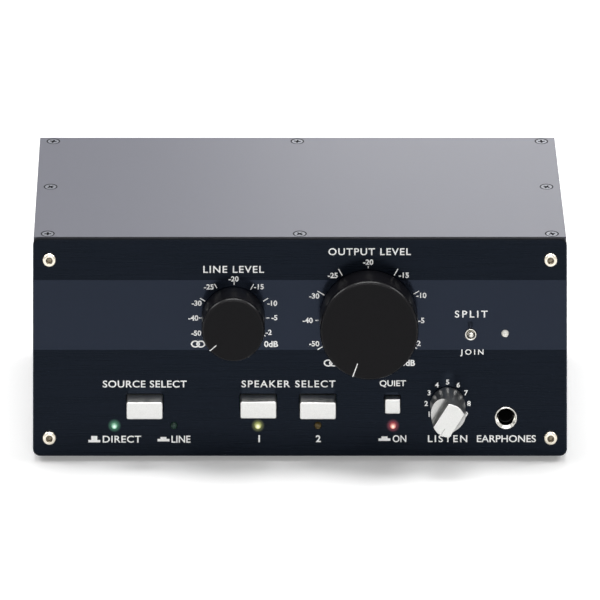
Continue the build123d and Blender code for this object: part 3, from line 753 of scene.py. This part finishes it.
def makeVolumeKnob(name, knob):
    size, radius, reach = knobShell, knob["radius"], knobShell["reach"]
    roof, face = reach - size["top"], radius - size["chamfer"]
    crown = [(0, reach), (face, reach), (radius, reach - size["chamfer"]), (radius, size["gap"])]
    profile = [crown[0]] + bend(*crown[:3], size["innerEdge"]) + bend(*crown[1:], size["outerEdge"])
    inside = radius - size["wall"]
    profile += [(radius, size["gap"]), (inside, size["gap"]), (inside, roof), (size["boss"], roof),
                (size["boss"], size["bossLow"]), (size["bore"], size["bossLow"]), (size["bore"], roof),
                (0, roof)]
    piece = turnOnLathe(name + "KnobShell", profile, steps=144)
    cutAway(piece, addRod("grubWay", size["grub"], size["bore"], radius + 1, 32, (-pi / 2, 0, 0),
                          (0, 0, size["grubHeight"])))
    smooth(30)
    coat(piece, "knobAbs")
    paintFaces(piece, "burnishedAbs", lambda face: isKnobEdge(face, radius))
    node = name + "_knob"
    place, turn = onPanel(*middleOf(node)), knobTurn(knob["pointer"])
    finishPiece(placePiece(piece, place, turn), node)
    ink = [(knob["from"], reach), (face, reach), (knob["to"], reach + face - knob["to"])]
    strip = placePiece(inkStrip(name + "Pointer", ink, knob["width"]), place, turn)
    coat(strip, "whiteInk")
    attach(strip, bodyOf[node])


for name, knob in volumeKnobs.items():
    makeVolumeKnob(name, knob)
print("volume knobs made")


# headphone knob: a round base that hollows into a finger bar, satin chrome
phonesKnob = {
    "radius": 7.2, "tip": 6.8, "base": 9.2, "reach": 15.9, "gap": 0.6, "pointer": -147,
    "bar": 7.7, "hollow": 6.0, "hollowSides": 120,  # the bar's width, and the round scoops beside it
    "nutRoom": 5.8, "nutHeight": 3.0, "bore": 2.27,
    "notch": 1.0, "notchLength": 3.6, "notchDepth": 0.6,
    "edge": 0.22, "tipEdge": 0.308,
    "merge": 0.03,  # slivers up to this size, which the scoops leave, are merged
    "clear": 8,  # how far the cutters stand out of the knob
}


def makePhonesKnob():
    size = phonesKnob
    radius, reach, base, hollow = size["radius"], size["reach"], size["base"], size["hollow"]
    axis = size["bar"] / 2 + hollow
    rise = hollow - (hollow ** 2 - (axis - radius) ** 2) ** 0.5  # from the hollow's bottom to the rim
    centre = base + hollow - rise
    crown = [(0, reach), (size["tip"], reach), (radius, base)]
    profile = [crown[0]] + bend(*crown, size["tipEdge"])
    profile += [(radius, base), (radius, size["gap"]), (size["nutRoom"], size["gap"]),
                (size["nutRoom"], size["nutHeight"]), (size["bore"], size["nutHeight"]),
                (size["bore"], base), (0, base)]
    piece = turnOnLathe("phonesKnobShell", profile, steps=96)
    far = radius + size["clear"]
    for side in (-1, 1):
        scoop = addRod("scoop", hollow, -far, far, size["hollowSides"], (pi / 2, 0, 0),
                       (side * axis, 0, centre))
        inner, outer = sorted((side * size["bar"] / 2, side * far))
        above = addBox("above", (inner, -far, centre), (outer, far, reach + 2))
        cutAway(piece, scoop, above)
    half, start = size["notch"] / 2, radius - size["notchLength"]
    cutAway(piece, addBox("notch", (-half, start, reach - size["notchDepth"]), (half, far, reach + 1)))
    startEdit(piece, "VERT")
    cleanMesh(size["merge"])
    softenEdges(piece, size["edge"], 3, sharp=40)
    placePiece(piece, onPanel(*middleOf("phones_shaft")), knobTurn(size["pointer"]))
    finishPiece(piece, "phones_knob")


makePhonesKnob()
print("headphone knob made")


# push keys: hollow caps with rounded corners, each with its width and height
pushKeys = {"input": (14.8, 7.0), "output_1": (14.8, 7.0), "output_2": (14.8, 7.0), "mute": (6.3, 6.1)}
keyCap = {"corner": 0.7, "round": 0.45, "wall": 1.0, "face": 1.6,
          "sleeve": 5.4}  # a cap with less room than this inside stays solid


def makeKey(name, width, height):
    node = name + "_key"
    low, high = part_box(node)
    depth = (high.y - low.y) * 1000
    wide, tall = width / 2, height / 2
    piece = addBox(name + "KeyCap", (-wide, -tall, -depth), (wide, tall, 0))
    startEdit(piece, "EDGE")
    selectWhere(piece, "edges", lambda edge: abs(edge.verts[0].co.z - edge.verts[1].co.z) > mm(depth) / 2)
    bpy.ops.mesh.bevel(offset=mm(keyCap["corner"]), segments=6, affect="EDGES")
    selectWhere(piece, "edges", lambda edge: all(vert.co.z > -mm(keyCap["round"]) for vert in edge.verts))
    bpy.ops.mesh.bevel(offset=mm(keyCap["round"]), segments=5, affect="EDGES")
    if width - 2 * keyCap["wall"] > keyCap["sleeve"]:
        bpy.ops.mesh.select_mode(type="FACE")
        selectWhere(piece, "faces", lambda face: face.normal.z < -0.9)
        bpy.ops.mesh.inset(thickness=mm(keyCap["wall"]), use_even_offset=True)
        extrude((0, 0, mm(depth - keyCap["face"])))
    endEdit()
    pick(piece)
    smooth(35)
    placePiece(piece, Vector((low.x + high.x, 2 * low.y, low.z + high.z)) / 2)
    finishPiece(piece, node)


for name, capSize in pushKeys.items():
    makeKey(name, *capSize)
print("keys made")


# lamps: a domed 3 mm body on a flange, with two legs behind it
lampBody = {"radius": 1.5, "reach": 1.2, "length": 4.6, "rim": 1.9, "rimHeight": 1.0,
            "leg": 0.5, "legGap": 1.3}


def makeLamp(node, finish):
    size, radius, rim = lampBody, lampBody["radius"], lampBody["rim"]
    high = size["reach"] - radius
    low = high - size["length"]
    flange = low - size["rimHeight"]
    profile = arc(0, high, radius, 90, 0, 10)
    profile += [(radius, low), (rim, low), (rim, flange), (0, flange)]
    lamp = turnOnLathe(node + "Body", profile, steps=48)
    half, back = size["leg"] / 2, (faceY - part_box(node)[1].y) * 1000
    legs = [addBox("leg", (x - half, -half, back), (x + half, half, flange))
            for x in (-size["legGap"] / 2, size["legGap"] / 2)]
    piece = joinPieces(node.replace("_lamp", "LampBody"), [lamp, *legs])
    smooth(40)
    placePiece(piece, onPanel(*middleOf(node)))
    finishPiece(piece, node, finish)


for node in [name for name in frame["nodes"] if name.endswith("_lamp")]:
    makeLamp(node, node if node in litLamps else None)
print("lamps made")


# toggle: a lever with a ball at its pivot, in the threaded housing of the switch
leverShape = {"ball": 1.68, "neck": 0.7, "tip": 1.15, "length": 8.0, "pivot": 1.2, "tilt": 17,
              "housingEdge": 0.08}


def makeToggle():
    size = leverShape
    tipMiddle = size["length"] - size["tip"]
    profile = arc(0, tipMiddle, size["tip"], 90, 0, 8) + [(size["neck"], tipMiddle / 2)]
    joinAngle = degrees(atan2((size["ball"] ** 2 - size["neck"] ** 2) ** 0.5, size["neck"]))
    profile += arc(0, 0, size["ball"], joinAngle, -90, 14)
    piece = turnOnLathe("toggleStick", profile, steps=48)
    smooth(50)
    x, z = middleOf("toggle_switch")
    placePiece(piece, onPanel(x, z, -size["pivot"]), (pi / 2 - radians(size["tilt"]), 0, 0))
    finishPiece(piece, "toggle_lever", "turnedNickel")
    softenedNode("toggle_switch", "toggleHousing", size["housingEdge"], finish="turnedNickel")


# ring of the headphone socket: a bevelled rim, a funnel into the bore, and the thread behind the panel
jackRing = {"radius": 4.6, "reach": 0.8, "bevel": 0.25, "land": 0.2, "funnel": 0.95, "bore": 3.25,
            "sleeve": 4.3, "depth": 3.4, "edge": 0.1}


def makeJackRing():
    size, radius, reach, depth = jackRing, jackRing["radius"], jackRing["reach"], jackRing["depth"]
    flat = radius - size["bevel"]
    profile = [(radius, 0), (radius, reach - size["bevel"]), (flat, reach), (flat - size["land"], reach),
               (size["bore"], reach - size["funnel"]), (size["bore"], -depth), (size["sleeve"], -depth),
               (size["sleeve"], 0), (radius, 0)]
    piece = turnOnLathe("jackRingTurned", profile, steps=96)
    softenEdges(piece, size["edge"], 3, sharp=25)
    placePiece(piece, onPanel(*middleOf("jack_ring")))
    finishPiece(piece, "jack_ring", "turnedNickel")


makeToggle()
makeJackRing()
print("toggle and jack ring made")


# feet: low rubber discs with a rounded lower rim
footShape = {"radius": 6.0, "height": 2.0, "round": 0.5}


def makeFeet():
    size, radius = footShape, footShape["radius"]
    profile = [(0, 0)] + arc(radius - size["round"], size["round"], size["round"], -90, 0, 4)
    profile += [(radius, size["height"]), (0, size["height"])]
    foot = turnOnLathe("foot", profile, steps=64)
    pick(foot)
    smooth(40)
    low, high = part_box("rubber_feet")
    xs = (low.x + mm(radius), high.x - mm(radius))
    ys = (low.y + mm(radius), high.y - mm(radius))
    spots = [(Vector((x, y, 0)), facing["up"]) for x in xs for y in ys]
    spreadCopies(foot, "rubberFeet", "rubber_feet", spots)


# sockets and screws of the rear, and the headphone socket's body: how wide the bevel on their edges is
rearEdges = {"rear_screws": 0.08, "socket_screws": 0.06, "input_sockets": 0.15, "output_sockets": 0.15,
             "output_contacts": 0.05, "aux_jack": 0.12, "power_inlet": 0.12, "phones_jack": 0.1}


def camelName(node, ending):
    first, *others = node.split("_")
    return first + "".join(word.capitalize() for word in others) + ending


makeFeet()
for node, edge in rearEdges.items():
    softenedNode(node, camelName(node, "Turned"), edge)
print("feet and rear sockets made")


# screen print: words, numbers, ticks and key symbols, all in one thin layer of white ink
wordSettings = {
    "bold": 0.014,  # how much fatter than the font's the strokes are, on letters one metre high
    "boldNumber": 0.028,
    "stretch": 1.12,  # letters grow this much wider at most, and then the spaces between them grow
    "numberStretch": 1.08,
    "curveSteps": 4,
    "trial": 0.2,  # the extra spacing with which a word's spaces are measured
}


def addWord(body, x, z, height, width=None):  # centred at x and z; a width spreads the letters
    size = wordSettings
    deselect()
    bpy.ops.object.text_add()
    piece = bpy.context.object
    piece.data.body = body
    piece.data.offset = size["bold" if width else "boldNumber"]
    piece.data.extrude = 0.5  # a metre thick, until it is scaled
    piece.data.resolution_u = size["curveSteps"]
    bpy.context.view_layer.update()
    scaleZ = mm(height) / piece.dimensions.y
    scaleX = scaleZ * size["numberStretch"]
    if width:
        tight = piece.dimensions.x
        scaleX = scaleZ * min(size["stretch"], mm(width) / (tight * scaleZ))
        piece.data.space_character = 1 + size["trial"]
        bpy.context.view_layer.update()
        perSpace = (piece.dimensions.x - tight) / size["trial"]
        piece.data.space_character = 1 + (mm(width) / scaleX - tight) / perSpace
    bpy.ops.object.convert(target="MESH")
    corners = [Vector(c) for c in piece.bound_box]
    middle = (Vector(map(min, *corners)) + Vector(map(max, *corners))) / 2
    piece.location = -Vector((middle.x * scaleX, middle.y * scaleZ, 0))
    piece.scale = (scaleX, scaleZ, mm(inkDepth) * 2)
    applyPlace()
    return placePiece(piece, onPanel(x, z))


def addTick(x, z, length, width, turn):  # a bar whose long way is turned clockwise from upright
    piece = addBox("tick", (-width / 2, -length / 2, -inkDepth), (width / 2, length / 2, inkDepth))
    piece.rotation_euler = (0, 0, -radians(turn))
    bpy.ops.object.transform_apply(location=False, rotation=True, scale=False)
    return placePiece(piece, onPanel(x, z))


def around(centre, radius, turn):
    return centre[0] + radius * sin(radians(turn)), centre[1] + radius * cos(radians(turn))


def finishPrint(name, pieces):
    piece = joinPieces(name, pieces)
    piece.data.materials.clear()
    coat(piece, "whiteInk")
    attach(piece, bodyOf["front_panel"])


words = [
    # body, x, z, width
    ("OUTPUT LEVEL", 28.7, 84.3, 34.0), ("LINE LEVEL", -27.3, 77, 25.0),
    ("SOURCE SELECT", -63.9, 29.8, 34.6), ("SPEAKER SELECT", -4.7, 29.85, 38.7),
    ("QUIET", 38.2, 29.9, 10.8), ("SPLIT", 70.55, 58.6, 13.5), ("JOIN", 70.8, 42.65, 9.6),
    ("DIRECT", -73.3, 7.1, 15.8), ("LINE", -49.0, 7.1, 7.8), ("1", -16.8, 7.3, None),
    ("2", 7.55, 7.3, None), ("ON", 41.0, 7.3, 5.6), ("LISTEN", 60.8, 7.3, 16.2),
    ("EARPHONES", 85.0, 7.3, 24.3),
]
capHeight = 2.9
keySymbol = {"width": 4.9, "base": 1.0, "cap": 2.5, "outHeight": 1.65, "inHeight": 0.8}
symbols = [(-84.7, 7.1, True), (-56.2, 7.1, False), (34.8, 7.3, False)]  # x, z, and True for a key out


def addKeySymbol(x, z, out):  # a push key seen from the side, out or in
    size = keySymbol
    high = size["outHeight"] if out else size["inHeight"]
    low = -(size["base"] + high) / 2
    rim = low + size["base"]
    base = addBox("symbolBase", (-size["width"] / 2, low, -inkDepth), (size["width"] / 2, rim, inkDepth))
    cap = addBox("symbolCap", (-size["cap"] / 2, rim, -inkDepth), (size["cap"] / 2, rim + high, inkDepth))
    return [placePiece(piece, onPanel(x, z)) for piece in (base, cap)]


def addPanelPrint():
    marks = [addWord(body, x, z, capHeight, width) for body, x, z, width in words]
    for symbol in symbols:
        marks += addKeySymbol(*symbol)
    finishPrint("panelPrint", marks)


# scales of the volume knobs: centre, ticks (angle: from and to), and what stands where (angle and radius)
mainScale = {
    "centre": (28.1, 56.0), "line": 0.4, "height": 2.25,
    "ticks": {-120: (21.0, 24.1), -90: (20.45, 21.7), -60: (20.9, 24.1), -30: (21.3, 24.5),
              0: (21.5, 22.3), 30: (21.3, 24.5), 60: (21.6, 24.2), 120: (20.5, 23.2)},
    "silent": (-138.8, 23.3), "loud": (136.8, 24.0), "loudHeight": 2.55,
    "numbers": {"-50": (-113.3, 24.2), "-40": (-90, 24.9), "-30": (-65.6, 24.4), "-25": (-38.2, 23.6),
                "-20": (0, 24.0), "-15": (38.3, 23.7), "-10": (64.8, 24.2), "-5": (90, 21.9),
                "-2": (114.9, 22.4)},
}
auxScale = {
    "centre": (-27.1, 57.0), "line": 0.4, "height": 2.2,
    "ticks": {-120: (13.2, 14.9), -90: (13.1, 14.6), -60: (13.8, 16.2), -30: (14.2, 16.2),
              0: (13.6, 14.8), 30: (13.5, 16.1), 60: (13.8, 16.2), 90: (13.1, 14.6), 120: (13.2, 14.9)},
    "silent": (-125.9, 18.3), "loud": (125.2, 18.6), "loudHeight": 2.55,
    "numbers": {"-50": (-111.8, 16.8), "-40": (-90, 16.8), "-30": (-68.4, 16.6), "-25": (-39.2, 16.5),
                "-20": (-0.7, 16.1), "-15": (38.4, 16.4), "-10": (68.8, 16.8), "-5": (89.5, 16.6),
                "-2": (112.6, 15.4)},
}
infinityMark = {"radius": 1.2, "line": 0.5, "squash": 1.3, "shift": 0.72}


def addInfinity(x, z):  # two linked rings
    size = infinityMark
    pieces = []
    for side in (-1, 1):
        deselect()
        bpy.ops.mesh.primitive_torus_add(
            major_radius=mm(size["radius"]), minor_radius=mm(size["line"] / 2),
            major_segments=32, minor_segments=6)
        ring = bpy.context.object
        ring.scale = (size["squash"], 1, inkDepth / size["line"] * 2)
        ring.location = (side * mm(size["radius"] * size["shift"] * size["squash"]), 0, 0)
        applyPlace()
        pieces.append(placePiece(ring, onPanel(x, z)))
    return pieces


def addScale(name, scale):  # ticks, numbers and the two end marks
    pieces = []
    for turn, (start, end) in scale["ticks"].items():
        x, z = around(scale["centre"], (start + end) / 2, turn)
        pieces.append(addTick(x, z, end - start, scale["line"], turn))
    for body, (turn, radius) in scale["numbers"].items():
        pieces.append(addWord(body, *around(scale["centre"], radius, turn), scale["height"]))
    turn, radius = scale["loud"]
    pieces.append(addWord("0dB", *around(scale["centre"], radius, turn), scale["loudHeight"]))
    turn, radius = scale["silent"]
    finishPrint(name, pieces + addInfinity(*around(scale["centre"], radius, turn)))


# digits round the headphone knob, the middle one upright above it
phonesScale = {"digits": "123456789", "centre": (60.8, 21.8), "radius": 8.8, "step": 30, "height": 2.1}


def addPhonesScale():
    size = phonesScale
    turns = [size["step"] * (i - len(size["digits"]) // 2) for i in range(len(size["digits"]))]
    places = [around(size["centre"], size["radius"], turn) for turn in turns]
    digits = [addWord(digit, *place, size["height"]) for digit, place in zip(size["digits"], places)]
    finishPrint("phonesScalePrint", digits)


addPanelPrint()
addScale("mainScalePrint", mainScale)
addScale("lineScalePrint", auxScale)
addPhonesScale()
print("screen print made")


# studio: pale floor, white surroundings for the camera and for gloss, and softboxes
studio = {"white": "FFFFFF", "ambient": 0.18, "floorSize": 8, "floorGlow": 0.2}
softboxes = {
    # place, target, width and height in metres, power in watts, and whether only gloss shows it
    "overhead": ((0, 0.14, 1.4), (0, 0.05, 0), 0.9, 0.5, 12.8, False),
    "leftSide": ((-0.95, 0.05, 0.85), (0, 0, 0), 0.5, 0.5, 5.0, False),
    "rightSide": ((0.95, 0.05, 0.85), (0, 0, 0), 0.5, 0.5, 5.0, False),
    "frontFill": ((0.1, -2.0, 0.6), (0, 0, 0.05), 0.9, 0.5, 10.5, False),
    "rearCard": ((0.26, 0.55, 0.2), (0.05, 0, 0.09), 0.6, 0.36, 1.8, True),
    "topStrip": ((0, 0.05, 1.1), (0, 0.02, 0), 2.8, 0.3, 7.0, True),
    "frontBar": ((0, -0.55, 1.25), (0, -0.05, 0.05), 1.6, 0.22, 4.0, True),
}


def seenBy(owner, first, *others):  # 1 for these kinds of ray and 0 for all the rest
    rays = addNode(owner, "LightPath")
    seen = rays.outputs[first]
    for kind in others:
        either = addNode(owner, "Math", {"operation": "MAXIMUM"}, {0: seen, 1: rays.outputs[kind]})
        seen = either.outputs[0]
    return seen


def buildWorld():
    world = bpy.data.worlds.new("studioWorld")
    bpy.context.scene.world = world
    world.use_nodes = True
    tree = world.node_tree
    dim = tree.nodes["Background"]
    dim.inputs["Color"].default_value = colourOf(studio["white"])
    dim.inputs["Strength"].default_value = studio["ambient"]
    white = addNode(world, "Background", {"Color": colourOf(studio["white"])})
    seen = seenBy(world, "Is Camera Ray", "Is Glossy Ray", "Is Transmission Ray")
    mix = addNode(world, "MixShader", {}, {0: seen, 1: dim.outputs[0], 2: white.outputs[0]})
    tree.links.new(mix.outputs[0], tree.nodes["World Output"].inputs["Surface"])


def buildFloor():
    deselect()
    bpy.ops.mesh.primitive_plane_add(size=studio["floorSize"])
    floor = newest("studioFloor")
    material, shader = newMaterial("paleFloor")  # white background paper: matt, lifted by a faint glow
    tree = material.node_tree
    tree.nodes.remove(shader)
    paper = addNode(material, "BsdfDiffuse", {"Color": colourOf(studio["white"])})
    strength = addNode(material, "Math", {"operation": "MULTIPLY", 1: studio["floorGlow"]},
                       {0: seenBy(material, "Is Camera Ray", "Is Glossy Ray")})
    glow = addNode(material, "Emission", {"Color": colourOf(studio["white"])},
                   {"Strength": strength.outputs[0]})
    both = addNode(material, "AddShader", {}, {0: paper.outputs[0], 1: glow.outputs[0]})
    tree.links.new(both.outputs[0], tree.nodes["Material Output"].inputs["Surface"])
    floor.data.materials.append(material)


def addSoftbox(name, place, target, width, height, power, glossOnly):
    bpy.ops.object.light_add(type="AREA", location=place)
    light = newest(name)
    light.data.shape = "RECTANGLE"
    light.data.size = width
    light.data.size_y = height
    light.data.energy = power
    light.rotation_euler = (Vector(place) - Vector(target)).to_track_quat("Z", "Y").to_euler()
    light.visible_camera = False
    light.visible_diffuse = not glossOnly  # without it the light casts no shadow on the floor


buildWorld()
buildFloor()
for name, softbox in softboxes.items():
    addSoftbox(name, *softbox)
bpy.context.scene.view_settings.view_transform = "Standard"
print("studio built")
